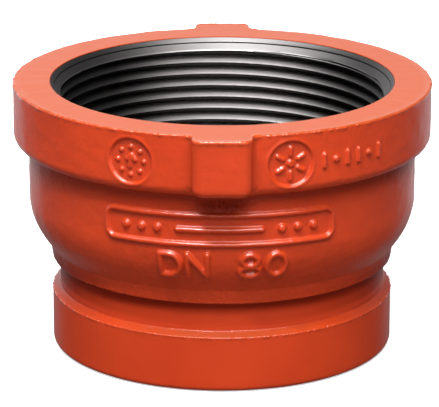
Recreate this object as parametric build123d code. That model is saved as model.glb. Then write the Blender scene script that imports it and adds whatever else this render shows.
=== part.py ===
from build123d import *

import math
import os

# Threaded-to-grooved pipe adapter, 3 in nominal (DN 80).
# One ductile-iron casting with a female taper pipe thread in the collar end (top)
# and a grooved pipe end (bottom), under a film of orange enamel.
# Frame: mm, +Z along the pipe axis towards the threaded mouth, origin on the axis at
# the grooved end's rim, front wrench lug towards -Y.

INCH = 25.4
HEIGHT = 2.75 * INCH  # end to end
FILM = 0.15  # enamel thickness

# Outside, measured over the enamel
PIPE_R = 3.5 * INCH / 2  # grooved end
RIM_ROUND = 1.25  # outer edge of the grooved end's rim
BEVEL_START_Z = 14.35  # where the lip turns in towards the groove
SEAT_Z = 15.60  # gasket seat length, rim to groove
GROOVE_TOP_Z = SEAT_Z + 7.70
GROOVE_R = 42.47  # groove floor
GROOVE_ROUND = 0.35  # lip and groove corners
NECK_R = 44.30  # short neck above the groove
CREASE_R = 44.90  # where the neck meets the bowl
CREASE_Z = 27.00
CREASE_ROUND = 0.7
BOWL_R = 50.23  # straight part of the bowl
BOWL_LOW_Z = 35.40
COLLAR_R = 54.12  # threaded collar
COLLAR_Z = 54.07  # underside of the collar
COLLAR_ROOT_ROUND = 1.2  # between the bowl and the collar
COLLAR_LOW_ROUND = 2.6
COLLAR_TOP_ROUND = 0.5

# Wrench lugs, one at the front and one at the back
LUG_W = 14.6
LUG_ROOT = 46.5  # axis to the lug's inner end, inside the collar
LUG_REACH = 59.3  # axis to the lug's flat outer face
LUG_Z = 55.3  # underside
LUG_CORNER = 1.8  # vertical corners
LUG_LOW_ROUND = 1.6
LUG_TOP_ROUND = 0.5

# Two recessed casting roundels on the collar
ROUNDEL_R = 5.8
ROUNDEL_DEPTH = 0.7
ROUNDEL_ANGLES = (-24.7, 18.2)  # degrees from the front, positive towards +X
ROUNDEL_Z = 62.0

# Bore, from the rim upward
RIM_CHAMFER = 0.6  # inner edge of the rim
WATERWAY_R = 38.80  # over the enamel
WATERWAY_TOP_Z = 29.6  # where the enamel ends
BARE_LENGTH = 0.4  # bare metal above it, at the waterway's radius
LAND_R = 40.80  # tap-drilled land behind the thread
LAND_LOW_Z = 32.8
LAND_HIGH_Z = 37.8
LAND_STEP = 0.4  # height of the step from the land to the crest cone
MOUTH_R = 44.67  # entry chamfer's edge at the face, outside the thread root
BORE_OVERRUN = 1.0  # how far the bore cutter runs past each end

# Taper thread
THREAD_PITCH = INCH / 8
THREAD_TAPER = 1 / 32  # radius change per length, 1 in 16 on diameter
THREAD_CREST_R = 41.95  # crest radius at the mouth plane
THREAD_DEPTH = 2.35
THREAD_CREST_FLAT = 0.35
FLANK_SLOPE = math.tan(math.radians(30))
THREAD_START_Z = 40.495 - 0.6 * THREAD_PITCH  # 0.6 turn below the last full turn
THREAD_OVERRUN = 2.2  # how far the helix runs past the mouth plane
FADE_TURNS = 0.5  # run-out at the lower end
FADE_EXTRA = 0.3  # sink below the crest cone at the start, beyond the thread depth
FLANK_OVERRUN = 0.2  # how far the flanks run inward past the crest
CUTTER_BACK = 0.9  # crest cone to the inner side of the groove cutter
RAIL_STEPS = 12  # spline steps per half turn


# ---------------------------------------------------------------- turned profiles
# A profile is a list of corners (radius, z, fillet radius), with both ends on the axis.
# It is walked from the lower end upward, so the enclosed area is on the left of travel.
OUTSIDE = [
    (0.0, 0.0, 0.0),
    (PIPE_R, 0.0, RIM_ROUND),
    (PIPE_R, BEVEL_START_Z, GROOVE_ROUND),
    (GROOVE_R, SEAT_Z, GROOVE_ROUND),
    (GROOVE_R, GROOVE_TOP_Z, GROOVE_ROUND),
    (NECK_R, GROOVE_TOP_Z, GROOVE_ROUND),
    (CREASE_R, CREASE_Z, CREASE_ROUND),
    (47.35, 30.55, 8.0),  # flare of the bowl
    (BOWL_R, BOWL_LOW_Z, 16.5),
    (BOWL_R, COLLAR_Z, COLLAR_ROOT_ROUND),
    (COLLAR_R, COLLAR_Z, COLLAR_LOW_ROUND),
    (COLLAR_R, HEIGHT, COLLAR_TOP_ROUND),
    (0.0, HEIGHT, 0.0),
]


def direction(start, end):
    """Unit (r, z) direction from one corner to another."""
    dr, dz = end[0] - start[0], end[1] - start[1]
    length = math.hypot(dr, dz)
    return dr / length, dz / length


def inset_profile(corners, inset):
    """Move every side of a flat-ended profile inward and adjust the fillets to match."""
    moved = [(0.0, corners[0][1] + inset, 0.0)]
    for before, corner, after in zip(corners, corners[1:], corners[2:]):
        r, z, round_r = corner
        arrive = direction(before, corner)
        leave = direction(corner, after)
        turn = arrive[0] * leave[1] - arrive[1] * leave[0]  # positive when convex
        # a point on each moved side, then the place where the two sides cross
        on_arrive = (r - arrive[1] * inset, z + arrive[0] * inset)
        on_leave = (r - leave[1] * inset, z + leave[0] * inset)
        gap_r = on_leave[0] - on_arrive[0]
        gap_z = on_leave[1] - on_arrive[1]
        along = (gap_r * leave[1] - gap_z * leave[0]) / turn
        moved.append((
            on_arrive[0] + arrive[0] * along,
            on_arrive[1] + arrive[1] * along,
            round_r - inset if turn > 0 else round_r + inset,
        ))
    moved.append((0.0, corners[-1][1] - inset, 0.0))
    return moved


def fillet_points(before, corner, after):
    """Start, middle and end of the arc that rounds a corner."""
    r, z, round_r = corner
    back = direction(corner, before)
    ahead = direction(corner, after)
    cosine = back[0] * ahead[0] + back[1] * ahead[1]
    half = math.acos(max(-1.0, min(1.0, cosine))) / 2
    trim = round_r / math.tan(half)
    middle_r, middle_z = back[0] + ahead[0], back[1] + ahead[1]
    reach = (round_r / math.sin(half) - round_r) / math.hypot(middle_r, middle_z)
    return [
        (r + back[0] * trim, z + back[1] * trim),
        (r + middle_r * reach, z + middle_z * reach),
        (r + ahead[0] * trim, z + ahead[1] * trim),
    ]


def turned(corners):
    """Draw a profile in the XZ plane, close it along the axis and revolve it."""

    def in_plane(point):
        return (point[0], 0, point[1])

    edges = []
    last = corners[0]
    for i, corner in enumerate(corners[1:], start=1):
        if corner[2] > 0:
            arc = fillet_points(corners[i - 1], corner, corners[i + 1])
            edges.append(Line(in_plane(last), in_plane(arc[0])))
            edges.append(ThreePointArc(*[in_plane(point) for point in arc]))
            last = arc[-1]
        else:
            edges.append(Line(in_plane(last), in_plane(corner)))
            last = corner
    edges.append(Line(in_plane(last), in_plane(corners[0])))
    return revolve(make_face(edges), axis=Axis.Z, revolution_arc=360)


# ---------------------------------------------------------------- outside envelope
def lug(side, inset):
    """A wrench lug, side -1 at the front and +1 at the back, shrunk by inset."""
    top = HEIGHT - inset
    low = LUG_Z + inset
    reach = LUG_REACH - inset
    block = Pos(0, side * (reach + LUG_ROOT) / 2, (top + low) / 2) * Box(
        LUG_W - 2 * inset, reach - LUG_ROOT, top - low
    )
    outer_face = block.faces().sort_by(Axis.Y)[-1 if side > 0 else 0]
    upright = [e for e in outer_face.edges() if abs(e.tangent_at(0.5).Z) > 0.9]
    block = fillet(upright, LUG_CORNER - inset)
    # the lower and upper edges, followed round the corners but not along the root
    for level, round_r in ((low, LUG_LOW_ROUND), (top, LUG_TOP_ROUND)):
        rim = [
            e
            for e in block.edges()
            if abs(e.center().Z - level) < 1e-4 and abs(e.center().Y) > LUG_ROOT + 0.5
        ]
        block = fillet(rim, round_r - inset)
    return block


def roundel(angle, inset):
    """The pocket of a casting roundel: a radial disc whose floor follows the collar."""
    wall = COLLAR_R - inset
    disc_center = Pos(0, -(wall + 2), ROUNDEL_Z)
    disc = disc_center * Rot(90, 0, 0) * Cylinder(ROUNDEL_R + inset, 8)
    floor = Pos(0, 0, ROUNDEL_Z) * Cylinder(wall - ROUNDEL_DEPTH, 40)
    pocket = (disc - floor).solids().sort_by(Axis.Y)[0]
    return Rot(0, 0, angle) * pocket


def envelope(inset):
    """The outside without its bore, inset from the enamel's surface."""
    body = turned(inset_profile(OUTSIDE, inset) if inset else OUTSIDE)
    for side in (-1, 1):
        body = body + lug(side, inset)
    for angle in ROUNDEL_ANGLES:
        body = body - roundel(angle, inset)
    return body


# ---------------------------------------------------------------- bore and thread
def crest_radius(z):
    """Radius of the thread's crest cone at a height."""
    return THREAD_CREST_R - (HEIGHT - z) * THREAD_TAPER


def bore(inset):
    """Waterway inset from the enamel's surface, land, crest cone and entry chamfer."""
    waterway = WATERWAY_R + inset
    bare_waterway = WATERWAY_R + FILM
    rim_edge = RIM_CHAMFER + inset
    # a 45 degree entry chamfer that ends on the thread's crest cone
    entry_z = HEIGHT - (MOUTH_R - THREAD_CREST_R) / (1 - THREAD_TAPER)
    cone_z = LAND_HIGH_Z + LAND_STEP
    corners = [
        (0.0, -BORE_OVERRUN, 0.0),
        (waterway + rim_edge + BORE_OVERRUN, -BORE_OVERRUN, 0.0),
        (waterway, rim_edge, 0.0),
        (waterway, WATERWAY_TOP_Z, 0.0),
    ]
    if inset < FILM:  # step where the enamel ends
        corners.append((bare_waterway, WATERWAY_TOP_Z, 0.0))
    corners += [
        (bare_waterway, WATERWAY_TOP_Z + BARE_LENGTH, 0.0),
        (LAND_R, LAND_LOW_Z, 0.0),
        (LAND_R, LAND_HIGH_Z, 0.0),
        (crest_radius(cone_z), cone_z, 0.0),
        (crest_radius(entry_z), entry_z, 0.0),
        (MOUTH_R + BORE_OVERRUN, HEIGHT + BORE_OVERRUN, 0.0),
        (0.0, HEIGHT + BORE_OVERRUN, 0.0),
    ]
    return turned(corners)


def thread_point(turn, out, up):
    """A point on the helix, out from the crest cone and up from the groove's centre."""
    z = THREAD_START_Z + turn * THREAD_PITCH
    sink = (1 - min(turn / FADE_TURNS, 1.0)) * (THREAD_DEPTH + FADE_EXTRA)
    radius = crest_radius(z) + out - sink
    angle = 2 * math.pi * turn
    return Vector(radius * math.cos(angle), radius * math.sin(angle), z + up)


def thread_rail(first, last, out, up):
    """A spline along the helix between two turn counts, with the helix's end tangents."""
    points = [
        thread_point(first + (last - first) * i / RAIL_STEPS, out, up)
        for i in range(RAIL_STEPS + 1)
    ]
    nudge = 1e-5
    start = thread_point(first + nudge, out, up) - points[0]
    end = points[-1] - thread_point(last - nudge, out, up)
    return Edge.make_spline(points, tangents=[start.normalized(), end.normalized()])


def thread_groove():
    """The helical V of the taper thread as half-turn lengths that meet end to end,
    fading out at the lower end and running out past the mouth."""
    half_crest = (THREAD_PITCH - THREAD_CREST_FLAT) / 2
    half_root = half_crest - THREAD_DEPTH * FLANK_SLOPE
    half_inner = half_crest + FLANK_OVERRUN * FLANK_SLOPE
    # (out from the crest cone, up from the groove's centre line)
    profile = [
        (-CUTTER_BACK, -half_inner),
        (-FLANK_OVERRUN, -half_inner),
        (THREAD_DEPTH, -half_root),
        (THREAD_DEPTH, half_root),
        (-FLANK_OVERRUN, half_inner),
        (-CUTTER_BACK, half_inner),
    ]
    rise = HEIGHT + THREAD_OVERRUN - THREAD_START_Z
    lengths = []
    for k in range(math.ceil(2 * rise / THREAD_PITCH)):
        rails = [thread_rail(k / 2, (k + 1) / 2, out, up) for out, up in profile]
        faces = [
            Face.make_surface_from_curves(rail, following)
            for rail, following in zip(rails, rails[1:] + rails[:1])
        ]
        for end in (0.0, 1.0):
            ring = [rail.position_at(end) for rail in rails]
            faces.append(make_face(Polyline(*ring, close=True)).face())
        lengths.append(Solid(Shell(faces)))
    return lengths


# ---------------------------------------------------------------- pieces
def export_piece(shape, name):
    """Write a piece as one solid, or as a compound if it has several."""
    solids = shape.solids()
    piece = Compound(children=solids) if len(solids) > 1 else shape.solid()
    piece.label = name
    export_step(piece, f"parts/{name}.step")


blank = envelope(FILM) - bore(FILM)  # the bare casting before threading
casting = blank.cut(*thread_groove())
coat = (envelope(0.0) - bore(0.0)) - blank

os.makedirs("parts", exist_ok=True)
export_piece(casting, "iron_casting")
export_piece(coat, "enamel_coat")
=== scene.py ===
"""An iron pipe adapter: grooved pipe end below, tapered female thread in the mouth above.

The axis is Z, the foot stands on z = 0 and the mouth opens upward. The two wrench lugs
face front (-Y) and back (+Y). Angles run from the front toward the right (+X).
The enamel is a thin closed skin over a closed body of bare iron.
"""

import math

import bmesh
import bpy
import numpy as np
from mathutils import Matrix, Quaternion, Vector


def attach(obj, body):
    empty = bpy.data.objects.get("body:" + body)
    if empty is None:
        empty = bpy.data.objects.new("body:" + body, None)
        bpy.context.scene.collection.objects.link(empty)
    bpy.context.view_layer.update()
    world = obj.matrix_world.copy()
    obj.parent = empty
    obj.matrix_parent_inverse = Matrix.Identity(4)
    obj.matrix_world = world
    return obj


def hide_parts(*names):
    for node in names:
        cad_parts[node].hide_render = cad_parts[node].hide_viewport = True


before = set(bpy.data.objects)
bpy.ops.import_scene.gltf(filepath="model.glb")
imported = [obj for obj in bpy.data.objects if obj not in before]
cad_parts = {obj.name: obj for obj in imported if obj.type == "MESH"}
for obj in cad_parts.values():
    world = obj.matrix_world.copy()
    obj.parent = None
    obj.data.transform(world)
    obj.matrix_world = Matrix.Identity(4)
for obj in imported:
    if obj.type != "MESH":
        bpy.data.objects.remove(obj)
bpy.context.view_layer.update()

# Sizes are in mm; mesh vertices are written in metres.
MM = 0.001
TAU = 2 * math.pi

# ------------------------------------------------------------------ dimensions
HEIGHT = 69.85
FILM = 0.15  # nominal thickness of the enamel
PIPE_R = 44.45
BEVEL_Z = 14.35  # where the lip's bevel into the groove begins
GROOVE_R = 42.47
SEAT_Z = 15.60
GROOVE_TOP = SEAT_Z + 7.70
NECK_R = 44.30
CREASE_R, CREASE_Z = 44.90, 27.00
BOWL_R = 50.23
COLLAR_R, COLLAR_Z = 54.12, 54.07
COLLAR_LOW_FILLET, COLLAR_TOP_FILLET = 2.6, 0.5
WALL_Z = COLLAR_Z + COLLAR_LOW_FILLET  # where the collar's straight wall begins
WATER_R, WATER_TOP = 38.80, 29.6  # waterway
MOUTH_R = 44.67

# Wrench lugs
LUG_HALF, LUG_REACH, LUG_CORNER = 7.3, 59.3, 2.3
LUG_FOOT = 1.5  # fillet between lug and collar, in plan
LUG_Z = 55.2
LUG_DROOP = 0.25  # the underside's inner edge lies this much below LUG_Z
LUG_RUN = 2.6  # height of collar wall given to the lug's underside and lower edge
LUG_EDGE = 1.7  # radius of the lower edge
LUG_SIDE = 1.9  # radius of the lower corners, seen from the front

# Thread
PITCH, TAPER, MINOR_R, DEPTH, CREST = 3.175, 1 / 32, 41.95, 2.35, 0.35
ROOT = 0.123
THREAD_START = 33.035  # height of a crest at angle 0
THREAD_FOOT, THREAD_TOP = 37.6, 67.75  # the thread mesh is cut at these heights
LAND_R, LAND_TOP = 40.80, 38.3  # plain bore below the thread
STEP_R, STEP_LOW, STEP_TOP = 43.50, 68.30, 68.66  # turned step in the entry chamfer
THREAD_COLUMNS = 480

# The outside profile, from the waterway's top down, round the foot and up to the mouth:
# radius, height, fillet
OUTSIDE = [
    (WATER_R, WATER_TOP, 0.0),
    (WATER_R, 0.0, 0.8),
    (PIPE_R, 0.0, 1.25),
    (PIPE_R, BEVEL_Z, 0.35),
    (GROOVE_R, SEAT_Z, 0.35),
    (GROOVE_R, GROOVE_TOP, 0.35),
    (NECK_R, GROOVE_TOP, 0.35),
    (CREASE_R, CREASE_Z, 0.7),
    (47.35, 30.55, 8.0),
    (BOWL_R, 35.40, 16.5),
    (BOWL_R, COLLAR_Z, 1.2),
    (COLLAR_R, COLLAR_Z, COLLAR_LOW_FILLET),
    (COLLAR_R, HEIGHT, COLLAR_TOP_FILLET),
    (MOUTH_R, HEIGHT, 0.0),
]

# Corners that get closer rows: height, radius, distance of effect, row spacing
CLOSE_CORNERS = (
    (0.0, PIPE_R, 1.6, 0.20),
    (0.0, WATER_R, 1.2, 0.25),
    (BEVEL_Z, PIPE_R, 0.8, 0.11),
    (SEAT_Z, GROOVE_R, 0.9, 0.14),
    (GROOVE_TOP, GROOVE_R, 0.6, 0.12),
    (GROOVE_TOP, NECK_R, 0.8, 0.12),
    (CREASE_Z, CREASE_R, 1.2, 0.16),
    (COLLAR_Z, BOWL_R, 1.6, 0.2),
    (COLLAR_Z, COLLAR_R, 2.2, 0.2),
    (HEIGHT, COLLAR_R, 1.6, 0.12),
    (HEIGHT, MOUTH_R, 0.8, 0.15),
)


# ------------------------------------------------------------------ curves and noise
def smooth(x, start, end):
    """0 before start, 1 after end, an S-curve between."""
    t = np.clip((x - start) / (end - start), 0, 1)
    return t * t * (3 - 2 * t)


def hump(x, width, power=2):
    """1 at x = 0, falling away over a width."""
    return np.exp(-((x / width) ** power))


def cosine_sum(turns, rises, phases):
    """Noise of angle and height; whole waves round the pipe make it close on itself."""
    def noise(theta, z=0.0):
        total = np.zeros(np.broadcast(theta, z).shape)
        for turn, rise, phase in zip(turns, rises, phases):
            total += np.cos(turn * theta + rise * z + phase)
        return total / math.sqrt(len(turns) / 2)

    return noise


def surface_noise(seed, wavelength, count):
    """Noise with waves running in every direction over the surface."""
    random = np.random.default_rng(seed)
    wave_number = TAU / (wavelength * np.exp(random.normal(0, 0.45, count)))
    heading = random.uniform(0, TAU, count)
    phases = random.uniform(0, TAU, count)
    mean_radius = 50.0
    turns = np.round(wave_number * np.cos(heading) * mean_radius)
    return cosine_sum(turns, wave_number * np.sin(heading), phases)


def edge_noise(seed, fewest, most, count=36):
    """Noise of angle only, with fewest to most waves in a turn."""
    random = np.random.default_rng(seed)
    turns = np.round(np.exp(random.uniform(math.log(fewest), math.log(most), count)))
    return cosine_sum(turns, np.zeros(count), random.uniform(0, TAU, count))


# ------------------------------------------------------------------ profile and mesh tools
def round_corners(corners, step=0.02):
    """Dense points along corners (radius, height, fillet)."""
    points = []
    for i, (r, z, fillet) in enumerate(corners):
        corner = np.array([r, z])
        if i in (0, len(corners) - 1):
            points.append(corner[None])
            continue
        before = np.array(corners[i - 1][:2]) - corner
        after = np.array(corners[i + 1][:2]) - corner
        before /= np.linalg.norm(before)
        after /= np.linalg.norm(after)
        half = math.acos(np.clip(before @ after, -1, 1)) / 2
        tangent = fillet / math.tan(half)
        middle = before + after
        centre = corner + middle / np.linalg.norm(middle) * fillet / math.sin(half)
        first = corner + before * tangent - centre
        last = corner + after * tangent - centre
        start, end = math.atan2(first[1], first[0]), math.atan2(last[1], last[0])
        sweep = (end - start + math.pi) % TAU - math.pi
        count = max(6, int(abs(sweep) * fillet / step))
        angle = start + sweep * np.linspace(0, 1, count)
        points.append(
            np.c_[centre[0] + fillet * np.cos(angle), centre[1] + fillet * np.sin(angle)]
        )
    return np.vstack(points)


def walk(points, spacing):
    """Length, radius and height along a polyline at a spacing that depends on place."""
    length = np.r_[0, np.cumsum(np.linalg.norm(np.diff(points, axis=0), axis=1))]
    keep = np.r_[True, np.diff(length) > 1e-9]
    points, length = points[keep], length[keep]
    fine = np.linspace(0, length[-1], int(length[-1] / 0.01) + 2)
    r = np.interp(fine, length, points[:, 0])
    z = np.interp(fine, length, points[:, 1])
    density = 1 / spacing(r, z)
    steps = np.r_[0, np.cumsum((density[1:] + density[:-1]) / 2 * np.diff(fine))]
    count = int(math.ceil(steps[-1]))
    s = np.interp(np.linspace(0, steps[-1], count + 1), steps, fine)
    return s, np.interp(s, length, points[:, 0]), np.interp(s, length, points[:, 1])


def profile_normals(s, r, z):
    """Radial and vertical parts of the normals that point out of the metal."""
    slope_r, slope_z = np.gradient(r, s), np.gradient(z, s)
    size = np.hypot(slope_r, slope_z)
    return (slope_z / size)[:, None], (-slope_r / size)[:, None]


def on_axis(r, theta, z):
    """Points from cylindrical coordinates; theta 0 is the front."""
    return np.stack(np.broadcast_arrays(r * np.sin(theta), -r * np.cos(theta), z), -1)


def wrap(theta):
    return (theta + math.pi) % TAU - math.pi


def ring_quads(a, b, count, flip=False):
    """Quads between two closed rings whose vertices start at index a and b."""
    i = np.arange(count)
    j = (i + 1) % count
    quads = np.c_[a + i, a + j, b + j, b + i]
    return quads[:, ::-1] if flip else quads


def grid_quads(start, rows, count, flip=False):
    starts = [start + row * count for row in range(rows)]
    return np.vstack([ring_quads(a, b, count, flip) for a, b in zip(starts[:-1], starts[1:])])


def tube_quads(rings):
    """Quads joining a list of closed rings of vertex indices."""
    return np.vstack(
        [np.c_[a, b, np.roll(b, -1), np.roll(a, -1)] for a, b in zip(rings[:-1], rings[1:])]
    )


def zipper(ids_a, theta_a, ids_b, theta_b):
    """Triangles between two closed rings with different counts, matched by angle."""
    order_a, order_b = np.argsort(theta_a), np.argsort(theta_b)
    ids_a, theta_a = ids_a[order_a], theta_a[order_a]
    ids_b, theta_b = ids_b[order_b], theta_b[order_b]
    count_a, count_b = len(ids_a), len(ids_b)
    ends_a = np.r_[theta_a, theta_a[0] + TAU]
    ends_b = np.r_[theta_b, theta_b[0] + TAU]
    i = j = 0
    triangles = []
    while i < count_a or j < count_b:
        here_a, here_b = ids_a[i % count_a], ids_b[j % count_b]
        if j >= count_b or (i < count_a and ends_a[i + 1] <= ends_b[j + 1]):
            triangles.append((here_a, ids_a[(i + 1) % count_a], here_b))
            i += 1
        else:
            triangles.append((here_a, ids_b[(j + 1) % count_b], here_b))
            j += 1
    return np.array(triangles)


def link(name, data):
    made = bpy.data.objects.new(name, data)
    bpy.context.scene.collection.objects.link(made)
    return made


def quad_object(name, points, quads, attributes):
    """A smooth object of quads with float attributes on its points."""
    mesh = bpy.data.meshes.new(name)
    mesh.vertices.add(len(points))
    mesh.vertices.foreach_set("co", (points * MM).astype(np.float32).ravel())
    mesh.loops.add(quads.size)
    mesh.loops.foreach_set("vertex_index", quads.astype(np.int32).ravel())
    mesh.polygons.add(len(quads))
    starts = np.arange(0, quads.size, 4, dtype=np.int32)
    mesh.polygons.foreach_set("loop_start", starts)
    mesh.polygons.foreach_set("loop_total", np.full(len(quads), 4, np.int32))
    mesh.polygons.foreach_set("use_smooth", np.ones(len(quads), bool))
    mesh.update(calc_edges=True)
    mesh.validate()
    for key, values in attributes.items():
        attribute = mesh.attributes.new(key, "FLOAT", "POINT")
        attribute.data.foreach_set("value", np.asarray(values, np.float32))
    return link(name, mesh)


# ------------------------------------------------------------------ columns round the pipe
def lug_outline():
    """Half outline of a lug in plan as angles and radii, from its middle to the collar."""
    face = LUG_HALF - LUG_CORNER
    points = [(x, LUG_REACH) for x in np.linspace(0, face, 20)[:-1]]
    for angle in np.radians(np.linspace(90, 0, 9)):
        points.append((
            face + LUG_CORNER * math.cos(angle),
            LUG_REACH - LUG_CORNER + LUG_CORNER * math.sin(angle),
        ))
    foot_y = math.sqrt(COLLAR_R**2 - LUG_HALF**2) + LUG_FOOT
    for y in np.linspace(LUG_REACH - LUG_CORNER, foot_y, 7)[1:]:
        points.append((LUG_HALF, y))
    for run in np.linspace(0, LUG_FOOT, 7)[1:]:
        rise = LUG_FOOT - math.sqrt(LUG_FOOT**2 - (LUG_FOOT - run) ** 2)
        x = LUG_HALF + run
        points.append((x, math.sqrt(COLLAR_R**2 - x * x) + rise))
    points = np.array(points)
    return np.arctan2(points[:, 0], points[:, 1]), np.hypot(points[:, 0], points[:, 1])


LUG_THETA, LUG_R = lug_outline()
LUG_END = LUG_THETA[-1]


def columns():
    """Column angles: fine round the marked front, coarser toward the back lug."""
    fine, coarse = math.radians(0.29), math.radians(0.85)
    front_end = math.radians(50)
    half = list(LUG_THETA)
    theta = LUG_END
    back = math.pi - LUG_END
    while theta < back - coarse * 0.6:
        widen = smooth(theta, front_end, front_end + math.radians(12))
        from_lug = smooth(back - theta, 0, math.radians(6))
        step = fine + (coarse - fine) * widen * (0.35 + 0.65 * from_lug)
        theta += step
        if theta < back - step * 0.5:
            half.append(theta)
    half += [math.pi - x for x in LUG_THETA[::-1]]
    half = np.array(half)
    return np.concatenate([-half[1:-1][::-1], half])


def lug_bump(theta):
    """Radial reach beyond the collar at an angle from a lug's middle line."""
    t = np.abs(theta)
    return np.where(t < LUG_END, np.interp(t, LUG_THETA, LUG_R) - COLLAR_R, 0.0).clip(0)


def lug_near(theta):
    """1 across a lug, 0 clear of it."""
    return 1 - smooth(np.abs(theta), math.radians(8.6), math.radians(11.0))


def lug_pull(theta):
    """Share of a lug's narrowing that a column follows, signed by its side."""
    t = np.abs(theta)
    inner = np.clip(t / math.radians(5.2), 0, 1)
    return np.sign(theta) * inner * (1 - smooth(t, math.radians(8.7), math.radians(20)))


THETA = columns()
COLUMNS = len(THETA)
THETA_ROW = THETA[None, :]
FROM_FRONT = wrap(THETA_ROW)  # angle from the front lug
FROM_BACK = wrap(THETA_ROW - math.pi)  # angle from the back lug
BUMP = np.maximum(lug_bump(FROM_FRONT), lug_bump(FROM_BACK))
NEAR = np.maximum(lug_near(FROM_FRONT), lug_near(FROM_BACK))
PULL = lug_pull(FROM_FRONT) + lug_pull(FROM_BACK)


# ------------------------------------------------------------------ rows along the profile
def outer_spacing(r, z):
    out = np.full(len(r), 0.5)
    out = np.where((r < 40) & (z > 1.2) & (z < 30), 1.6, out)
    # bowl, the band under the collar, and collar wall: z from, z to, spacing
    out = np.where((r > 42) & (z > 30.0) & (z < 49.5), 0.27, out)
    out = np.where((r > 42) & (z >= 49.5) & (z < 53), 0.33, out)
    out = np.where((r > 42) & (z > 54.6) & (z < 68.4), 0.27, out)
    for corner_z, corner_r, width, step in CLOSE_CORNERS:
        away = np.hypot(r - corner_r, z - corner_z)
        closer = np.minimum(out, step + (out - step) * (away / width) ** 2)
        out = np.where(away < width, closer, out)
    return out


def inner_spacing(r, z):
    return np.where((r < 40) & (z > 1), 4.0, np.clip(outer_spacing(r, z) * 3.4, 0.4, 1.4))


def lug_rows(r, z):
    """How each row forms the lugs: share of the full reach, lift in height, narrowing."""
    share = np.zeros(len(r))
    lug_z = z.copy()
    wall = (r > COLLAR_R - 1e-3) & (z > WALL_Z - 1e-3)
    fillet = (r > BOWL_R + 0.05) & (z < WALL_Z) & (z > COLLAR_Z - 0.01)
    stretch = LUG_Z - LUG_DROOP - COLLAR_Z
    lug_z[fillet] = COLLAR_Z + (z[fillet] - COLLAR_Z) * stretch / COLLAR_LOW_FILLET

    # the wall's lowest rows go out along the underside, round the edge and up the face
    run = (z - WALL_Z) / LUG_RUN
    zone = wall & (run <= 1.0)
    reach = LUG_REACH - COLLAR_R
    flat = reach - LUG_EDGE
    arc = LUG_EDGE * math.pi / 2
    face = WALL_Z + LUG_RUN - (LUG_Z + LUG_EDGE)
    along = np.clip(run, 0, 1) * (flat + arc + face)
    along_flat = np.clip(along / flat, 0, 1)
    angle = np.clip((along - flat) / arc, 0, 1) * math.pi / 2
    arc_share = flat / reach + LUG_EDGE * np.sin(angle) / reach
    arc_z = LUG_Z + LUG_EDGE - LUG_EDGE * np.cos(angle)
    share[zone] = np.where(along < flat, along_flat * (flat / reach), arc_share)[zone]
    lug_z[zone] = np.where(
        along < flat,
        LUG_Z - LUG_DROOP + LUG_DROOP * along_flat,
        arc_z + np.clip(along - flat - arc, 0, None),
    )[zone]
    share[wall & (run > 1.0)] = 1.0

    # the top face shrinks back to the round mouth
    top = (z > HEIGHT - COLLAR_TOP_FILLET - 1e-6) & (r > MOUTH_R - 0.01)
    edge_r = COLLAR_R - COLLAR_TOP_FILLET
    share[top] = np.where(r[top] >= edge_r, 1.0, (r[top] - MOUTH_R) / (edge_r - MOUTH_R))

    # narrowing rounds the lug's lower corners, then eases out below so columns straighten
    above = lug_z - LUG_Z
    drop = np.clip(LUG_SIDE - above, 0, LUG_SIDE)
    corner = LUG_SIDE - np.sqrt(np.clip(LUG_SIDE**2 - drop**2, 0, None))
    narrow = np.where((share > 0) & (above < LUG_SIDE), corner, 0.0)
    below = (z > 51.0) & (r > 49) & (z <= WALL_Z) & ~wall
    narrow = np.where(below, LUG_SIDE * smooth(z, 51.0, WALL_Z), narrow)
    return share, lug_z - z, narrow


PROFILE = round_corners(OUTSIDE)
OUTER_S, OUTER_R, OUTER_Z = walk(PROFILE, outer_spacing)
INNER_S, INNER_R, INNER_Z = walk(PROFILE, inner_spacing)
OUTER_LUG = lug_rows(OUTER_R, OUTER_Z)
INNER_LUG = [np.interp(INNER_S, OUTER_S, values) for values in OUTER_LUG]


def with_lugs(r, z, lug, bump):
    """Radius, angle and height of the surface that the rows sweep, lugs included."""
    share, lift, narrow = lug
    theta = THETA_ROW - narrow[:, None] / COLLAR_R * PULL
    return r[:, None] + share[:, None] * bump, theta, z[:, None] + NEAR * lift[:, None]


# ------------------------------------------------------------------ casting marks
def segment_distance(u, v, x0, y0, x1, y1):
    run, rise = x1 - x0, y1 - y0
    square = run * run + rise * rise
    t = np.clip(((u - x0) * run + (v - y0) * rise) / max(square, 1e-9), 0, 1)
    return np.hypot(u - x0 - t * run, v - y0 - t * rise)


def path_distance(u, v, path):
    pairs = zip(path[:-1], path[1:])
    return np.minimum.reduce([segment_distance(u, v, *start, *end) for start, end in pairs])


def arc_points(x, y, radius_x, radius_y, start, end, count):
    angle = np.radians(np.linspace(start, end, count))
    return list(zip(x + radius_x * np.cos(angle), y + radius_y * np.sin(angle)))


def glyph(letter, x, y, w, h):
    """Stroke paths of a plain rounded character with its lower left corner at x, y."""
    middle = x + w / 2
    if letter == "D":
        bowl = arc_points(x + w * 0.45, y + h / 2, w * 0.55, h / 2, 90, -90, 14)
        return [[(x, y), (x, y + h), (x + w * 0.45, y + h)] + bowl + [(x, y)]]
    if letter == "N":
        return [[(x, y), (x, y + h), (x + w, y), (x + w, y + h)]]
    if letter == "8":
        return [
            arc_points(middle, y + h * 0.74, w * 0.42, h * 0.26, -90, 270, 18),
            arc_points(middle, y + h * 0.24, w * 0.5, h * 0.24, -90, 270, 18),
        ]
    return [arc_points(middle, y + h / 2, w / 2, h / 2, -90, 270, 24)]  # 0


def rib(distance, half, edge, height):
    """A raised stroke with a domed top and a soft foot."""
    body = 1 - smooth(distance, half - edge * 0.55, half + edge)
    crown = 1 - 0.22 * np.clip(distance / half, 0, 1) ** 2
    return height * body * crown


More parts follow.
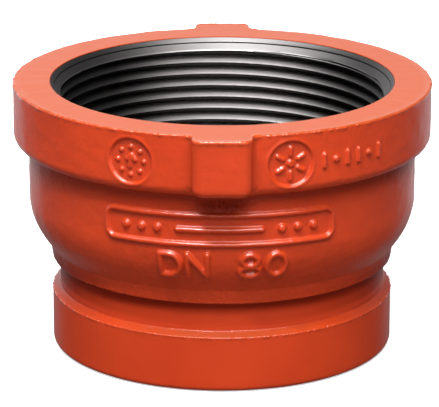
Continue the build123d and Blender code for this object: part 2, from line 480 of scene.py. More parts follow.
def pointer_figure(u, v):
    """Distance to eight pips round an arrow."""
    away = np.full(u.shape, 1e9)
    for angle in np.radians(range(0, 360, 45)):
        pip = np.hypot(u - 3.55 * math.cos(angle), v - 3.55 * math.sin(angle)) - 0.12
        away = np.minimum(away, pip)
    for stroke in ((-0.2, -1.5, 0.2, 1.5), (0.2, 1.5, -0.9, 0.4), (0.2, 1.5, 1.2, 0.3)):
        away = np.minimum(away, segment_distance(u, v, *stroke) - 0.05)
    return away


def spoke_figure(u, v):
    """Distance to six spokes round a pip."""
    away = np.full(u.shape, 1e9)
    for angle in np.radians(range(30, 390, 60)):
        x, y = math.cos(angle), math.sin(angle)
        spoke = segment_distance(u, v, 2.3 * x, 2.3 * y, 3.9 * x, 3.9 * y) - 0.05
        away = np.minimum(away, spoke)
    return np.minimum(away, np.hypot(u, v) - 0.45)


SIZE_MARK = (("D", 4.9), ("N", 4.9), (" ", 4.2), ("8", 4.7), ("0", 4.7))  # letter, width
SIZE_X, SIZE_Z, SIZE_H, SIZE_GAP = -15.2, 32.3, 5.8, 1.9
SIZE_WRAP_R = 49.0  # radius at which the size is laid round the bowl

FRAME_X, FRAME_Z, FRAME_HALF_W, FRAME_HALF_H, FRAME_CORNER = -0.6, 44.6, 29.4, 3.75, 2.2
FRAME_PIPS = (-24.0, -19.8, -15.6, 15.6, 19.8, 24.0)
FRAME_BAR_HALF = 10.5

# degrees round the collar, height, figure
ROUNDELS = ((-24.7, 62.0, pointer_figure), (18.2, 61.95, spoke_figure))
ROUNDEL_R = 5.8

# degrees round the collar, half height of the bar (0 is a dot)
TALLY = ((27.6, 1.5), (31.2, 0), (34.8, 1.5), (38.4, 1.5), (42.0, 0), (45.6, 1.5))
TALLY_Z = 61.9


def size_rib(theta, z):
    """The raised size on the bowl's lower half."""
    u = theta * SIZE_WRAP_R
    away = np.full(u.shape, 1e9)
    x = SIZE_X
    for letter, width in SIZE_MARK:
        if letter != " ":
            for path in glyph(letter, x, SIZE_Z, width, SIZE_H):
                away = np.minimum(away, path_distance(u, z, path))
        x += width + SIZE_GAP
    return rib(away, half=0.64, edge=0.25, height=1.05)


def frame_rib(theta, z):
    """A raised rounded frame above the size, with pips and a bar inside."""
    u = theta * BOWL_R
    out_x = np.abs(u - FRAME_X) - (FRAME_HALF_W - FRAME_CORNER)
    out_y = np.abs(z - FRAME_Z) - (FRAME_HALF_H - FRAME_CORNER)
    outside = np.hypot(np.clip(out_x, 0, None), np.clip(out_y, 0, None))
    box = outside + np.minimum(np.maximum(out_x, out_y), 0) - FRAME_CORNER
    away = segment_distance(
        u, z, FRAME_X - FRAME_BAR_HALF, FRAME_Z, FRAME_X + FRAME_BAR_HALF, FRAME_Z
    )
    for x in FRAME_PIPS:
        away = np.minimum(away, np.hypot(u - FRAME_X - x, z - FRAME_Z) - 0.35)
    return np.maximum(
        rib(np.abs(box), half=0.55, edge=0.24, height=0.95),
        rib(away, half=0.64, edge=0.24, height=1.00),
    )


def roundel_height(theta, z, degrees, centre_z, figure):
    """A sunk disc with a faint lip and a raised figure."""
    du, dv = theta * COLLAR_R - math.radians(degrees) * COLLAR_R, z - centre_z
    away = np.hypot(du, dv)
    sunk = -0.70 * (1 - smooth(away, ROUNDEL_R - 0.34, ROUNDEL_R + 0.02))
    lip = 0.16 * hump(away - ROUNDEL_R - 0.35, width=0.4)
    raised = 0.62 * (1 - smooth(figure(du, dv), 0.28, 0.68))
    return sunk + lip + raised * (away < ROUNDEL_R)


def tally_rib(theta, z):
    """A row of raised bars and dots to the right of the second roundel."""
    u = theta * COLLAR_R
    away = np.full(u.shape, 1e9)
    for degrees, half in TALLY:
        x = math.radians(degrees) * COLLAR_R
        if half:
            mark = segment_distance(u, z, x, TALLY_Z - half, x, TALLY_Z + half)
        else:
            mark = np.hypot(u - x, z - TALLY_Z) - 0.3
        away = np.minimum(away, mark)
    return rib(away, half=0.50, edge=0.24, height=0.70)


def marks(theta, z, row_r):
    """Height of the raised and sunk casting marks over the plain surface."""
    on_bowl = (z > 29) & (z < 51) & (row_r > 43)
    height = np.where(on_bowl, np.maximum(size_rib(theta, z), frame_rib(theta, z)), 0)
    on_wall = (z > 55.5) & (z < 69) & (row_r > 53)
    for roundel in ROUNDELS:
        height = height + np.where(on_wall, roundel_height(theta, z, *roundel), 0)
    return height + np.where(on_wall, tally_rib(theta, z), 0)


# ------------------------------------------------------------------ enamel film
def edge_beads(theta):
    """Paint gathered along four edges of the profile."""
    def bead(r, z, width):
        nearest = np.argmin(np.hypot(OUTER_R - r, OUTER_Z - z))
        return hump(OUTER_S[:, None] - OUTER_S[nearest], width)

    collar, bevel = edge_noise(21, 25, 420)(theta), edge_noise(22, 30, 500)(theta)
    seat, shoulder = edge_noise(23, 25, 420)(theta), edge_noise(24, 20, 300)(theta)
    return (
        bead(COLLAR_R, HEIGHT - COLLAR_TOP_FILLET, 0.42 + 0.22 * NEAR)
        * np.clip(0.100 + 0.095 * collar + 0.19 * NEAR, 0.0, 0.42)
        + bead(PIPE_R, BEVEL_Z, 0.34) * np.clip(0.090 + 0.080 * bevel, 0.0, 0.26)
        + bead(GROOVE_R + 0.1, SEAT_Z, 0.28) * np.clip(0.010 + 0.025 * seat, 0.0, 0.08)
        + bead(NECK_R, GROOVE_TOP + 0.2, 0.30) * np.clip(0.030 + 0.030 * shoulder, 0.0, 0.12)
    )


def painted_shade_weight(r, z, patch, bevel, side):
    """Painted shade for the enamel's recesses: groove, neck, under the collar, pitted patch,
    bevel sides.
    """
    tuck = 1.12 - 0.66 * smooth(side, 0.40, 0.85)
    tuck = tuck * smooth(z, 19.3, 22.0) * (z < GROOVE_TOP + 0.1) * (r > 41)
    neck = (0.10 + 1.20 * side) * smooth(z, 16.4, 18.5) * (1 - smooth(z, 24.2, 28.2))
    under_collar = 0.8 + 0.35 * smooth(np.sin(THETA_ROW), 0.30, 0.80)
    under_collar = under_collar * smooth(z, 47.5, 53.0) * (1 - smooth(r, 51.5, 53.5))
    bevel_sides = 0.75 * bevel * smooth(side, 0.35, 0.90)
    total = (neck + under_collar) * (r > 41) + 0.85 * patch + tuck + bevel_sides
    return np.clip(total, 0, 1.33)


def inner_surface(inset):
    """The outside without its detail, set in by inset and sunk clear of the hollows."""
    bump = np.clip(BUMP - inset * 0.6, 0, None)
    r, theta, z = with_lugs(INNER_R, INNER_Z, INNER_LUG, bump)
    row_r, row_z = INNER_R[:, None], INNER_Z[:, None]
    sink = np.zeros(r.shape)
    for degrees, centre_z, _ in ROUNDELS:
        away = np.hypot((theta - math.radians(degrees)) * COLLAR_R, z - centre_z)
        sink = np.maximum(sink, 0.75 * (1 - smooth(away, 6.3, 7.3)) * (row_r > 53))
    patch = hump(FROM_FRONT, math.radians(9.6), power=4) * hump(row_z - 50.9, 2.8)
    depth = inset + (sink + 0.75 * patch * (row_r > 49))
    out_r, out_z = profile_normals(INNER_S, INNER_R, INNER_Z)
    return on_axis(r - out_r * depth, theta, z - out_z * depth)


def enamel_film():
    row_r, row_z = OUTER_R[:, None], OUTER_Z[:, None]
    rows, inner_rows = len(OUTER_R), len(INNER_R)
    shape = (rows, COLUMNS)
    r, theta, z = with_lugs(OUTER_R, OUTER_Z, OUTER_LUG, BUMP)

    # where the surface is machined, and how coarse the casting is elsewhere
    mouth_face = (row_z > HEIGHT - 0.02) & (row_r < COLLAR_R - 0.8)
    machined = ((row_z < GROOVE_TOP + 0.2) | mouth_face).astype(float)
    cast = 1 - machined
    coarse = (
        0.26
        + 0.52 * smooth(row_z, 23.0, 23.6) * (1 - smooth(row_z, 29.0, 38.0))
        + 0.35 * smooth(row_z, 46, 50) * (1 - smooth(row_z, 54, 56))
    )

    relief = marks(theta, z, np.broadcast_to(row_r, shape))
    grain = surface_noise(11, wavelength=9.0, count=40)(theta, z)
    ripple = surface_noise(12, wavelength=3.2, count=60)(theta, z)
    fine = surface_noise(13, wavelength=1.3, count=80)(theta, z)
    pits = np.clip(surface_noise(14, wavelength=0.9, count=60)(theta, z) - 0.55, 0, None)
    noise = (
        0.024 * grain * (0.35 + 0.65 * cast)
        + 0.011 * ripple * (0.25 + 0.75 * cast)
        + 0.030 * fine * cast * coarse
    )
    # a rough, pitted patch under the front lug
    patch = hump(FROM_FRONT, math.radians(7.8), power=4) * hump(row_z - 50.9, 1.9)
    patch = patch * (row_r > 49)
    noise = noise - 0.50 * patch * pits + 0.05 * patch * fine
    beads = edge_beads(theta)

    # the film's two ends stay put
    fade = smooth(OUTER_S, 0, 3.0) * smooth(OUTER_S[-1] - OUTER_S, 0.0, 0.8)
    detail = (relief + noise + beads) * fade[:, None]
    out_r, out_z = profile_normals(OUTER_S, OUTER_R, OUTER_Z)
    r = r + out_r * detail
    z = np.maximum(z + out_z * detail, 0.0)
    # ragged painted edge at the machined mouth
    r[-1] += np.clip(0.05 + 0.05 * edge_noise(31, 20, 700, 48)(THETA), -0.03, 0.2)
    outer = on_axis(r, theta, z)

    # the inner face ends in flat lands at the waterway's top and at the mouth
    inner = inner_surface(FILM + 0.05)
    inner[0, :, 2] = WATER_TOP
    inner[-1] = on_axis(MOUTH_R - FILM - 0.02, THETA, HEIGHT - FILM - 0.02)

    inner_start = rows * COLUMNS
    last_outer, last_inner = (rows - 1) * COLUMNS, inner_start + (inner_rows - 1) * COLUMNS
    quads = np.vstack([
        grid_quads(0, rows, COLUMNS),
        grid_quads(inner_start, inner_rows, COLUMNS, flip=True),
        ring_quads(inner_start, 0, COLUMNS),
        ring_quads(last_outer, last_inner, COLUMNS),
    ])

    side = np.sin(THETA_ROW) ** 2  # 0 at front and back, 1 at the two sides
    bevel = smooth(row_z, 14.2, 14.6) * (1 - smooth(row_z, 16.2, 16.8)) * (row_r > 41)
    fields = {
        "machined": machined,
        "bead": np.clip(beads / 0.2, 0, 1),
        "relief": np.clip(relief / 0.8, -1, 1),
        "painted_shade": painted_shade_weight(row_r, row_z, patch, bevel, side),
        "coarse": coarse * cast + 0.50 * bevel * (1 - 0.6 * side),
    }
    plain = np.zeros(inner_rows * COLUMNS)
    attributes = {
        key: np.concatenate([np.broadcast_to(field, shape).ravel(), plain])
        for key, field in fields.items()
    }
    points = np.vstack([outer.reshape(-1, 3), inner.reshape(-1, 3)])
    return quad_object("enamel_skin", points, quads, attributes)


# ------------------------------------------------------------------ bare iron body
RING_THETA = np.arange(THREAD_COLUMNS) / THREAD_COLUMNS * TAU


def thread_phases():
    """Row places in one pitch: across the crest flat, down to the root and back up."""
    crest = CREST / 2 / PITCH
    root = 0.5 - (ROOT / 2) / PITCH
    down = crest + (root - crest) * np.array([0.04, 0.12, 0.3, 0.5, 0.7, 0.88, 0.97])
    flat = crest * np.array([-0.98, -0.5, 0, 0.5, 0.98])
    return np.concatenate([flat, down, [0.5], 1 - down[::-1]])


def groove_depth(phase):
    """Depth of the 60 degree V at a phase of the pitch, 0 across the crest flat."""
    from_crest = np.abs(((phase + 0.5) % 1.0) - 0.5) * PITCH
    from_flat = np.clip(from_crest - CREST / 2, 0, None)
    return np.minimum(from_flat / math.tan(math.radians(30)), DEPTH)


def thread_grid():
    """Points and quads of the helical thread, longer than needed at both ends."""
    phases = thread_phases()
    turns = int(math.ceil((THREAD_TOP - THREAD_FOOT) / PITCH)) + 3
    row_turn = (np.arange(turns)[:, None] + phases[None]).ravel()
    z = THREAD_START + PITCH * (row_turn[:, None] + RING_THETA[None] / TAU)
    depth = groove_depth(row_turn)[:, None]
    chatter = 0.012 * edge_noise(41, 60, 900, 40)(RING_THETA)[None] * (depth > 0.05)
    minor = MINOR_R - (HEIGHT - z) * TAPER
    r = minor + depth * smooth(z, 38.3, 41.0) + chatter
    r = np.where(z < LAND_TOP, LAND_R, np.maximum(r, LAND_R))
    # the last groove runs out just below the entry chamfer
    r = np.where(z > 60, minor + (r - minor) * (1 - smooth(z, 66.0, 66.75)), r)
    chamfer = STEP_R - (STEP_LOW - z)
    r = np.maximum(r, np.where(z > HEIGHT - 4.2, chamfer, 0))

    quads = []
    i = np.arange(THREAD_COLUMNS - 1)
    for row in range(len(row_turn) - 1):
        a, b = row * THREAD_COLUMNS + i, (row + 1) * THREAD_COLUMNS + i
        quads.append(np.c_[a, b, b + 1, a + 1])
    # each row's end joins the start of the row one turn on
    for row in range(len(row_turn) - 1 - len(phases)):
        a = (row + 1) * THREAD_COLUMNS - 1
        start = (row + len(phases)) * THREAD_COLUMNS
        quads.append(np.array([[a, a + THREAD_COLUMNS, start + THREAD_COLUMNS, start]]))
    return on_axis(r, RING_THETA[None], z).reshape(-1, 3), np.vstack(quads)


def cut_thread():
    """The thread cut level: points, triangles, quads, top boundary and low boundary."""
    points, quads = thread_grid()
    mesh = bpy.data.meshes.new("thread")
    mesh.from_pydata(points.tolist(), [], quads.tolist())
    bm = bmesh.new()
    bm.from_mesh(mesh)
    for height, keep_above in ((THREAD_FOOT, True), (THREAD_TOP, False)):
        bmesh.ops.bisect_plane(
            bm,
            geom=bm.verts[:] + bm.edges[:] + bm.faces[:],
            dist=1e-5,
            plane_co=(0, 0, height),
            plane_no=(0, 0, 1),
            clear_inner=keep_above,
            clear_outer=not keep_above,
        )
    loose = [v for v in bm.verts if not v.link_faces]
    bmesh.ops.delete(bm, geom=loose, context="VERTS")
    bm.verts.index_update()
    points = np.array([v.co for v in bm.verts])
    corner_lists = [[v.index for v in face.verts] for face in bm.faces]
    triangles = [ids for ids in corner_lists if len(ids) == 3]
    quads = [ids for ids in corner_lists if len(ids) == 4]
    for ids in corner_lists:  # fan the few larger faces
        if len(ids) > 4:
            triangles += [[ids[0], ids[k], ids[k + 1]] for k in range(1, len(ids) - 1)]
    edges = [edge for edge in bm.edges if len(edge.link_faces) == 1]
    boundary = np.array(sorted({v.index for edge in edges for v in edge.verts}))
    bm.free()
    bpy.data.meshes.remove(mesh)
    top, low = (
        boundary[np.abs(points[boundary, 2] - height) < 1e-3]
        for height in (THREAD_TOP, THREAD_FOOT)
    )
    return points, np.array(triangles), np.array(quads), top, low


# The chamfer runs on past a small turned step up to the film: radius, height
MOUTH_RINGS = (
    (STEP_R - 0.30, STEP_LOW - 0.30),
    (STEP_R - 0.04, STEP_LOW - 0.04),
    (STEP_R + 0.02, STEP_LOW + 0.03),
    (STEP_R + 0.03, STEP_TOP - 0.03),
    (STEP_R + 0.07, STEP_TOP + 0.04),
    (STEP_R + 0.45, STEP_TOP + 0.43),
    (MOUTH_R - FILM - 0.06, HEIGHT - FILM - 0.06),
)
# Below the thread: land, shoulder and waterway: radius, height
WATER_RINGS = (
    (LAND_R, 36.9), (LAND_R, 33.2), (40.72, 32.6), (39.3, 30.6), (39.0, 30.0),
    (39.0, 29.5), (39.0, 12.0), (39.0, 0.95), (39.8, 0.25),
)


def iron_body():
    thread, thread_triangles, thread_quads, top_ids, low_ids = cut_thread()
    blocks = [thread]

    def add_points(points):
        """Appends a block of points and returns their indices."""
        start = sum(len(block) for block in blocks)
        blocks.append(points)
        return np.arange(start, start + len(points))

    def thread_theta(ids):
        return np.arctan2(thread[ids, 0], -thread[ids, 1]) % TAU

    mouth = [add_points(on_axis(r, RING_THETA, z)) for r, z in MOUTH_RINGS]
    water = [add_points(on_axis(r, RING_THETA, z)) for r, z in WATER_RINGS]

    # the hidden outside, just under the film, starting past the foot's inner edge
    hidden = inner_surface(FILM + 0.12)
    start = int(np.argmax((INNER_R > 40.6) & (INNER_Z < 0.5)))
    hidden = hidden[start:-1]
    hidden[:, :, 2] = np.clip(hidden[:, :, 2], 0.25, HEIGHT - FILM - 0.08)
    hidden_ids = add_points(hidden.reshape(-1, 3))

    film_theta = THETA % TAU
    triangles = np.vstack([
        thread_triangles,
        zipper(top_ids, thread_theta(top_ids), mouth[0], RING_THETA),
        zipper(low_ids, thread_theta(low_ids), water[0], RING_THETA),
        zipper(water[-1], RING_THETA, hidden_ids[:COLUMNS], film_theta),
        zipper(hidden_ids[-COLUMNS:], film_theta, mouth[-1], RING_THETA),
    ])
    quads = np.vstack([
        thread_quads,
        tube_quads(mouth),
        tube_quads(water),
        grid_quads(hidden_ids[0], len(hidden), COLUMNS),
    ])

    mesh = bpy.data.meshes.new("threaded_iron_body")
    mesh.from_pydata(np.vstack(blocks).tolist(), [], triangles.tolist() + quads.tolist())
    bm = bmesh.new()
    bm.from_mesh(mesh)
    bmesh.ops.remove_doubles(bm, verts=bm.verts[:], dist=1e-5)
    bmesh.ops.dissolve_degenerate(bm, edges=bm.edges[:], dist=1e-5)
    # the parts are wound differently, so make every face point out of the metal
    bmesh.ops.recalc_face_normals(bm, faces=bm.faces[:])
    if bm.calc_volume(signed=True) < 0:
        bmesh.ops.reverse_faces(bm, faces=bm.faces[:])
    for vertex in bm.verts:
        vertex.co *= MM
    for face in bm.faces:
        face.smooth = True
    # keep the narrow machined corners crisp
    for edge in bm.edges:
        if edge.calc_face_angle(0) > math.radians(32):
            edge.smooth = False
    bm.to_mesh(mesh)
    bm.free()
    return link("threaded_iron_body", mesh)


# ------------------------------------------------------------------ shader node tools
class Nodes:
    """Short calls that build one node tree; most return an output socket."""

    def __init__(self, owner):
        owner.use_nodes = True
        self.tree = owner.node_tree
        self.tree.nodes.clear()

    def add(self, kind, inputs=None, **settings):
        made = self.tree.nodes.new("ShaderNode" + kind)
        for key, value in settings.items():
            setattr(made, key, value)
        for key, value in (inputs or {}).items():
            if isinstance(value, bpy.types.NodeSocket):
                self.tree.links.new(value, made.inputs[key])
            elif isinstance(value, tuple):
                made.inputs[key].default_value = (*value, 1)
            else:
                made.inputs[key].default_value = value
        return made

    def calc(self, operation, a, b=None, clamp=False):
        inputs = {0: a} if b is None else {0: a, 1: b}
        return self.add("Math", inputs, operation=operation, use_clamp=clamp).outputs[0]

    def times(self, a, b, clamp=False):
        return self.calc("MULTIPLY", a, b, clamp)

    def plus(self, a, b, clamp=False):
        return self.calc("ADD", a, b, clamp)

    def minus(self, a, b, clamp=False):
        return self.calc("SUBTRACT", a, b, clamp)

    def size(self, value):
        return self.calc("ABSOLUTE", value)

    def flat_length(self, x, y):
        return self.calc("SQRT", self.plus(self.times(x, x), self.times(y, y)))

    def noise(self, place, scale, detail=2.0, rough=0.5):
        inputs = {"Scale": scale, "Detail": detail, "Roughness": rough, "Vector": place}
        return self.add("TexNoise", inputs).outputs["Fac"]

    def ramp(self, value, *stops):
        """Stops are (position, colour) or (position, grey)."""
        made = self.add("ValToRGB", {0: value})
        elements = made.color_ramp.elements
        while len(elements) < len(stops):
            elements.new(0.5)
        for element, (position, color) in zip(elements, stops):
            element.position = position
            element.color = (*(color if isinstance(color, tuple) else (color,) * 3), 1)
        return made.outputs[0]

    def mm_ramp(self, z, height, *stops):
        """A ramp over the mm above a height that is given in metres."""
        return self.ramp(self.times(self.minus(z, height), 1000.0), *stops)

    def mix(self, factor, a, b, blend="MIX"):
        inputs = {0: factor, 6: a, 7: b}
        return self.add("Mix", inputs, data_type="RGBA", blend_type=blend).outputs[2]

    def tint(self, a, b):
        return self.mix(1.0, a, b, "MULTIPLY")

    def mix_shader(self, factor, a, b):
        return self.add("MixShader", {0: factor, 1: a, 2: b}).outputs[0]

    def attribute(self, name):
        return self.add("Attribute", attribute_name=name).outputs["Fac"]

    def coordinates(self, kind="Object"):
        return self.add("TexCoord").outputs[kind]

    def geometry(self, kind):
        return self.add("NewGeometry").outputs[kind]

    def split(self, vector):
        return self.add("SeparateXYZ", {0: vector}).outputs

    def bump(self, height, strength, distance):
        inputs = {"Strength": strength, "Distance": distance, "Height": height}
        return self.add("Bump", inputs).outputs[0]


def new_material(name):
    material = bpy.data.materials.new(name)
    return material, Nodes(material)


# ------------------------------------------------------------------ enamel
def enamel_color(nodes, place, bead):
    """Deep orange red with slow drift, with painted shade in the recesses, a duller tint
    painted on upward faces and painted highlights on edge beads.
    """
    up = nodes.split(nodes.geometry("Normal"))[2]
    x, _, z = nodes.split(place)
    upward = nodes.ramp(up, (0.12, 0), (0.75, 1))
    # painted tone for light from above: upward faces get a duller tint, strong on the crown,
    # and on the lip's bevel toward front and back
    crown = nodes.mm_ramp(z, 0.0685, (0.0, 0.22), (0.9, 1))
    bevel_gap = nodes.times(nodes.size(nodes.minus(z, 0.0153)), 500.0)  # 1 at 2 mm
    bevel = nodes.ramp(bevel_gap, (0.50, 1), (0.80, 0))
    sideways = nodes.calc("DIVIDE", nodes.size(x), 0.0445)  # 1 at the pipe's side
    middle = nodes.ramp(sideways, (0.20, 0.70), (0.75, 0.10))
    crown = nodes.calc("MAXIMUM", crown, nodes.times(bevel, middle))
    top = nodes.times(upward, crown)

    drift = nodes.noise(place, scale=45, detail=3, rough=0.55)
    thin = nodes.noise(place, scale=420, detail=3, rough=0.6)
    color = nodes.ramp(
        drift, (0.30, (0.630, 0.051, 0.0100)), (0.72, (0.710, 0.061, 0.0120))
    )
    # each layer: weight, then colour
    layers = (
        (nodes.times(nodes.minus(thin, 0.5), 0.12, clamp=True), (0.48, 0.030, 0.004)),
        # painted shade: the recesses are darkened toward a deep red
        (nodes.times(nodes.attribute("painted_shade"), 0.75), (0.36, 0.022, 0.0030)),
        # painted tone: duller tint on upward faces, set by how light falls from above
        (top, (0.434, 0.071, 0.0145)),
        # painted highlight: the edge beads are tinted lighter, on top of their real raised
        # shape
        (nodes.times(bead, 0.35, clamp=True), (0.86, 0.11, 0.022)),
    )
    for weight, layer in layers:
        color = nodes.mix(weight, color, layer)
    return color


def enamel():
    material, nodes = new_material("orange_enamel_paint")
    place = nodes.coordinates()
    bead = nodes.attribute("bead")
    relief = nodes.attribute("relief")

    # roughness: a base with slight variation, glossier on beads and marks
    variation = nodes.minus(nodes.noise(place, scale=260), 0.5)
    rough = nodes.plus(0.303, nodes.times(variation, 0.05))
    rough = nodes.minus(rough, nodes.times(bead, 0.08))
    rough = nodes.minus(rough, nodes.times(nodes.size(relief), 0.13, clamp=True))
    # painted shade: the same mask lowers the specular level in the recesses
    specular = nodes.minus(0.5, nodes.times(nodes.attribute("painted_shade"), 0.27), clamp=True)
    # a clear coat makes raised and sunk edges look wetter
    mark_wet, bead_wet = nodes.times(nodes.size(relief), 0.8), nodes.times(bead, 0.9)
    wet = nodes.plus(mark_wet, bead_wet, clamp=True)

    # surface: orange peel everywhere, sand grain and craters where the casting is coarse
    peel = nodes.noise(place, scale=620, rough=0.45)
    sand = nodes.noise(place, scale=1500, detail=3, rough=0.6)
    craters = nodes.add("TexVoronoi", {"Scale": 900, "Vector": place}, feature="F1")
    crater_depth = nodes.minus(0.30, craters.outputs["Distance"], clamp=True)
    crater = nodes.times(crater_depth, -1.2)
    sand_height = nodes.times(nodes.times(sand, nodes.attribute("coarse")), 4.2)
    height = nodes.plus(nodes.times(peel, 0.45), sand_height)
    height = nodes.plus(height, nodes.times(crater, nodes.attribute("coarse")))
    normal = nodes.bump(height, strength=0.32, distance=0.00016)

    shader = nodes.add("BsdfPrincipled", {
        "Base Color": enamel_color(nodes, place, bead),
        "Roughness": rough,
        "Specular IOR Level": specular,
        "IOR": 1.5,
        "Coat Weight": nodes.times(wet, 0.9),
        "Coat Roughness": 0.13,
        "Normal": normal,
        "Coat Normal": normal,
    })
    nodes.add("OutputMaterial", {0: shader.outputs[0]})
    return material


# ------------------------------------------------------------------ bare iron
def iron_color(nodes, place, lines, x, z, up):
    blotch = nodes.noise(place, scale=130, detail=4, rough=0.6)
    color = nodes.ramp(blotch, (0.28, (0.930, 0.895, 0.890)), (0.72, (1.0, 0.970, 0.965)))
    color = nodes.mix(nodes.times(lines, 0.14), color, (0.30, 0.285, 0.280))
    # painted shade: roots, crests and downward flanks are darkened by the way they face
    color = nodes.tint(color, nodes.ramp(up, (0.20, (0.018, 0.017, 0.017)), (0.74, 1.0)))
    # painted shade: the entry chamfer is darkened below the cut flanks, toning down its
    # reflection
    chamfer_z = 0.0664
    color = nodes.tint(color, nodes.mm_ramp(z, chamfer_z, (0.0, 1), (0.6, 0.225)))
    # painted shade: the bore is darkened toward its left and right sides; 0.0026 is the
    # middle of the light band and 0.0447 the sideways reach, in metres
    sideways = nodes.calc("DIVIDE", nodes.size(nodes.minus(x, 0.0026)), 0.0447)
    thread_painted_shade = nodes.ramp(
        sideways, (0.18, 1), (0.38, 0.78), (0.48, 0.52), (0.58, 0.30), (0.70, 0.15)
    )
    mouth_painted_shade = nodes.ramp(sideways, (0.35, 1), (0.80, 0.68))
    at_mouth = nodes.mm_ramp(z, chamfer_z, (0.0, 0), (0.6, 1))
    return nodes.tint(color, nodes.mix(at_mouth, thread_painted_shade, mouth_painted_shade))


def bare_iron():
    material, nodes = new_material("bare_machined_iron")
    place = nodes.coordinates()
    x, y, z = nodes.split(place)
    radius = nodes.flat_length(x, y)
    # turning lines run round the axis, so they hardly change with angle
    turned = nodes.add("CombineXYZ", {
        0: nodes.times(radius, 1.0),
        1: nodes.times(nodes.calc("ARCTAN2", y, x), 0.0012),
        2: z,
    })
    lines = nodes.noise(turned.outputs[0], scale=5200, rough=0.6)
    grain = nodes.noise(place, scale=2400, rough=0.6)
    up = nodes.split(nodes.geometry("Normal"))[2]
    # painted shade: metallic and specular level drop on downward faces to darken them
    metal = nodes.ramp(up, (0.10, 0.06), (0.60, 1.0))
    height = nodes.plus(nodes.times(lines, 0.8), nodes.times(grain, 0.2))
    shader = nodes.add("BsdfPrincipled", {
        "Base Color": iron_color(nodes, place, lines, x, z, up),
        "Metallic": metal,
        "Specular IOR Level": nodes.times(metal, 0.5),
        "Roughness": nodes.plus(0.40, nodes.times(grain, 0.08)),
        "Normal": nodes.bump(height, strength=0.20, distance=0.00005),
    })
    nodes.add("OutputMaterial", {0: shader.outputs[0]})
    return material


# ------------------------------------------------------------------ floor and world
def pale_floor():
    """White to the camera; a shaded sweep in reflections; dark to all other rays."""
    material, nodes = new_material("pale_floor")
    place = nodes.coordinates()
    x, y, _ = nodes.split(place)
    from_axis = nodes.flat_length(x, y)

    # what the camera sees: pale paint plus a glow that grows away from the pipe
    speckle = nodes.noise(place, scale=30)
    paint = nodes.add("BsdfDiffuse", {0: nodes.ramp(speckle, (0.3, 0.84), (0.7, 0.86))})
    strength = nodes.ramp(from_axis, (0.14, 0.55), (0.42, 1.1))
    glow = nodes.add("Emission", {0: (1, 1, 1), 1: strength})
    seen = nodes.add("AddShader", {0: paint.outputs[0], 1: glow.outputs[0]})

    # what reflects: bright for rays that head to the back, dimmed close to the pipe
    toward_x, toward_y, _ = nodes.split(nodes.geometry("Incoming"))
    backward = nodes.times(toward_y, -1.0)
    flat = nodes.flat_length(toward_x, toward_y)
    heading = nodes.calc("DIVIDE", backward, flat, clamp=True)
    away = nodes.ramp(heading, (0.68, (0.16, 0.154, 0.156)), (0.88, (0.80, 0.79, 0.83)))
    contact = nodes.ramp(nodes.times(from_axis, 5.0), (0.42, 0.34), (0.82, 1))
    sweep = nodes.add("Emission", {0: nodes.tint(away, contact), 1: 1.0})

    dark = nodes.add("BsdfDiffuse", {0: (0.17, 0.165, 0.165)})
    ray = nodes.add("LightPath").outputs
    other = nodes.mix_shader(ray["Is Glossy Ray"], dark.outputs[0], sweep.outputs[0])
    surface = nodes.mix_shader(ray["Is Camera Ray"], other, seen.outputs[0])
    nodes.add("OutputMaterial", {0: surface})
    material.cycles.emission_sampling = "NONE"
    return material


def add_floor(half=6.0, drop=0.0002):
    mesh = bpy.data.meshes.new("floor")
    corners = [(-half, -half, 0), (half, -half, 0), (half, half, 0), (-half, half, 0)]
    mesh.from_pydata(corners, [], [(0, 1, 2, 3)])
    floor = link("floor", mesh)
    floor.location.z = -drop
    mesh.materials.append(pale_floor())


def add_world():
    """White to the camera; otherwise dark with a lit backdrop low at the back."""
    world = bpy.data.worlds.new("studio")
    bpy.context.scene.world = world
    nodes = Nodes(world)
    x, y, z = nodes.split(nodes.coordinates("Generated"))

    def from_half(value):
        """Maps -1..1 to 0..1."""
        return nodes.plus(nodes.times(value, 0.5), 0.5)

    back = nodes.ramp(from_half(y), (0.42, 0), (0.80, 1))
    low = nodes.ramp(z, (0.30, 1), (0.50, 0))
    left = nodes.ramp(from_half(x), (0.53, 1), (0.63, 0.16))
    backdrop = nodes.tint(nodes.tint(back, low), left)
    sky = nodes.mix(backdrop, (0.060, 0.057, 0.062), (0.98, 0.97, 1.0))
    lighting = nodes.add("Background", {0: sky, 1: 1.0})
    seen = nodes.add("Background", {0: (1, 1, 1), 1: 1.15})
    camera_ray = nodes.add("LightPath").outputs["Is Camera Ray"]
    surface = nodes.mix_shader(camera_ray, lighting.outputs[0], seen.outputs[0])
    nodes.add("OutputWorld", {0: surface})


# ------------------------------------------------------------------ lights and camera
def area(name, place, target, size, power, color=(1, 1, 1)):
    """A rectangular light aimed at a target; metres and watts."""
    light = bpy.data.lights.new(name, "AREA")
    light.shape = "RECTANGLE"
    light.size, light.size_y = size
    light.energy = power
    light.color = color
    made = link(name, light)
    made.location = place
    made.visible_camera = False
    aim = Vector(target) - Vector(place)
    made.rotation_euler = aim.to_track_quat("-Z", "Y").to_euler()
    return made


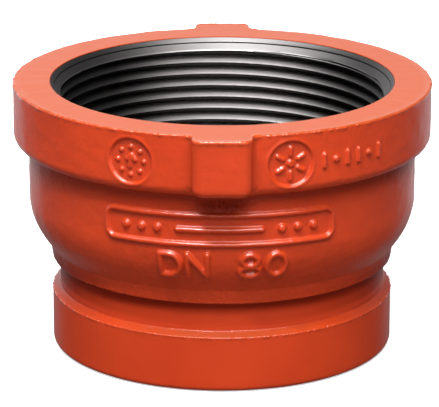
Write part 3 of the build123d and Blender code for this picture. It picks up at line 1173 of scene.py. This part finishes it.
def add_lights():
    area(
        "overhead_box", place=(-0.24, 0.06, 0.88), target=(-0.16, 0.06, 0.0),
        size=(0.80, 0.66), power=6.2, color=(1.0, 0.995, 0.99),
    )
    area(
        "front_key", place=(0.06, -0.56, 0.84), target=(0, 0, 0.03),
        size=(0.84, 0.66), power=12.2, color=(1.0, 0.99, 0.975),
    )
    area(
        "edge_light", place=(-0.17, -0.40, 0.74), target=(0, 0, 0.04),
        size=(0.05, 0.05), power=2.2, color=(1.0, 0.99, 0.98),
    )
    area(
        "low_fill", place=(0.22, -1.05, 0.22), target=(0, 0, 0.03),
        size=(0.80, 0.40), power=1.0, color=(1.0, 0.98, 0.96),
    )
    back_fill = area(
        "back_fill", place=(0.45, 0.95, 0.50), target=(0, 0, 0.03),
        size=(0.90, 0.60), power=5.0,
    )
    back_fill.visible_glossy = False


CAMERA_DISTANCE = 812.48
CAMERA_TARGET_Z = 35.995
CAMERA_ELEVATION, CAMERA_ROLL = 0.299721, 0.002371  # radians
CAMERA_LENS = 254.249385
CAMERA_SHIFT_X = -0.00568793  # share of the picture's width


def add_camera():
    data = bpy.data.cameras.new("camera")
    camera = link("camera", data)
    data.sensor_fit = "HORIZONTAL"
    data.sensor_width = 36.0
    data.lens = CAMERA_LENS
    data.shift_x = CAMERA_SHIFT_X
    data.clip_start, data.clip_end = 0.05, 50
    camera.location = (
        0,
        -CAMERA_DISTANCE * math.cos(CAMERA_ELEVATION) * MM,
        (CAMERA_TARGET_Z + CAMERA_DISTANCE * math.sin(CAMERA_ELEVATION)) * MM,
    )
    aim = Vector((0, 0, CAMERA_TARGET_Z * MM)) - Vector(camera.location)
    camera.rotation_mode = "QUATERNION"
    level = aim.to_track_quat("-Z", "Y")
    camera.rotation_quaternion = level @ Quaternion((0, 0, 1), CAMERA_ROLL)
    bpy.context.scene.camera = camera


# ------------------------------------------------------------------ build
film = enamel_film()
iron = iron_body()
film.data.materials.append(enamel())
iron.data.materials.append(bare_iron())

for piece, cad, slot in (
    (film, "enamel_coat", "orange_enamel"),
    (iron, "iron_casting", "bare_iron"),
):
    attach(piece, "root")
    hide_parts(cad)

add_floor()
add_world()
add_lights()
add_camera()
bpy.context.scene.view_settings.view_transform = "Standard"
bpy.context.scene.view_settings.look = "None"
